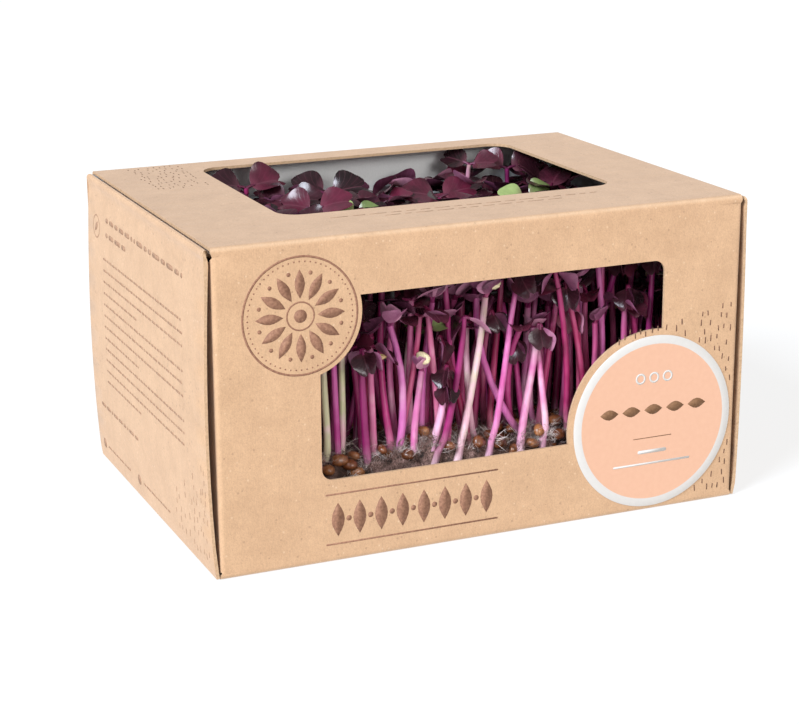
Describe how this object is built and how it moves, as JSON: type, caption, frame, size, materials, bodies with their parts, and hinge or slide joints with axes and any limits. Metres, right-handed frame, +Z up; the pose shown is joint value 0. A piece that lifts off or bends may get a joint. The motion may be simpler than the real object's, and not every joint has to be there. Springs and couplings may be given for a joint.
{
  "type": "radish microgreens tray",
  "caption": "Windowed card carton with tuck-in end panels, holding a shallow tray with a growing mat and a stand of radish sprouts.",
  "frame": {"origin": "middle of the footprint, on the surface that the carton stands on", "axes": "+X to the right along the long side, -Y out of the front window, +Z up"},
  "size_m": [0.1556, 0.1086, 0.086],
  "materials": {
    "kraft_card": "uncoated kraft card, brown outside and light grey inside",
    "label_paper": "matt paper sticker, peach with a white rim",
    "tray_plastic": "thin black formed plastic",
    "growing_mat": "wet dark fibre mat with seeds and root hairs",
    "sprout": "waxy magenta stems and dark purple seed leaves"
  },
  "bodies": {
    "carton": {"carton_sleeve": "kraft_card", "round_label": "label_paper", "seed_tray": "tray_plastic", "growing_mat": "growing_mat", "sprout_pair_01": "sprout", "sprout_pair_02": "sprout", "sprout_pair_03": "sprout", "sprout_pair_04": "sprout", "sprout_pair_05": "sprout", "sprout_pair_06": "sprout", "sprout_pair_07": "sprout", "sprout_pair_08": "sprout", "sprout_pair_09": "sprout", "sprout_pair_10": "sprout", "sprout_pair_11": "sprout", "sprout_pair_12": "sprout", "sprout_pair_13": "sprout", "sprout_pair_14": "sprout", "sprout_pair_15": "sprout", "sprout_pair_16": "sprout", "sprout_pair_17": "sprout", "sprout_pair_18": "sprout", "sprout_pair_19": "sprout", "sprout_pair_20": "sprout", "sprout_pair_21": "sprout", "sprout_pair_22": "sprout", "sprout_pair_23": "sprout", "sprout_pair_24": "sprout", "sprout_pair_25": "sprout", "sprout_pair_26": "sprout", "sprout_pair_27": "sprout", "sprout_pair_28": "sprout", "sprout_pair_29": "sprout", "sprout_pair_30": "sprout", "sprout_pair_31": "sprout", "sprout_pair_32": "sprout", "sprout_pair_33": "sprout"},
    "left_end": {"left_end_panel": "kraft_card"},
    "right_end": {"right_end_panel": "kraft_card"}
  },
  "joints": [
    {"name": "left_end_hinge", "type": "hinge", "parent": "carton", "child": "left_end", "pos_m": [-0.0757, 0, 0.0004], "axis": [0, -1, 0], "range_deg": [0, 86]},
    {"name": "right_end_hinge", "type": "hinge", "parent": "carton", "child": "right_end", "pos_m": [0.0757, 0, 0.0004], "axis": [0, 1, 0], "range_deg": [0, 86]}
  ]
}
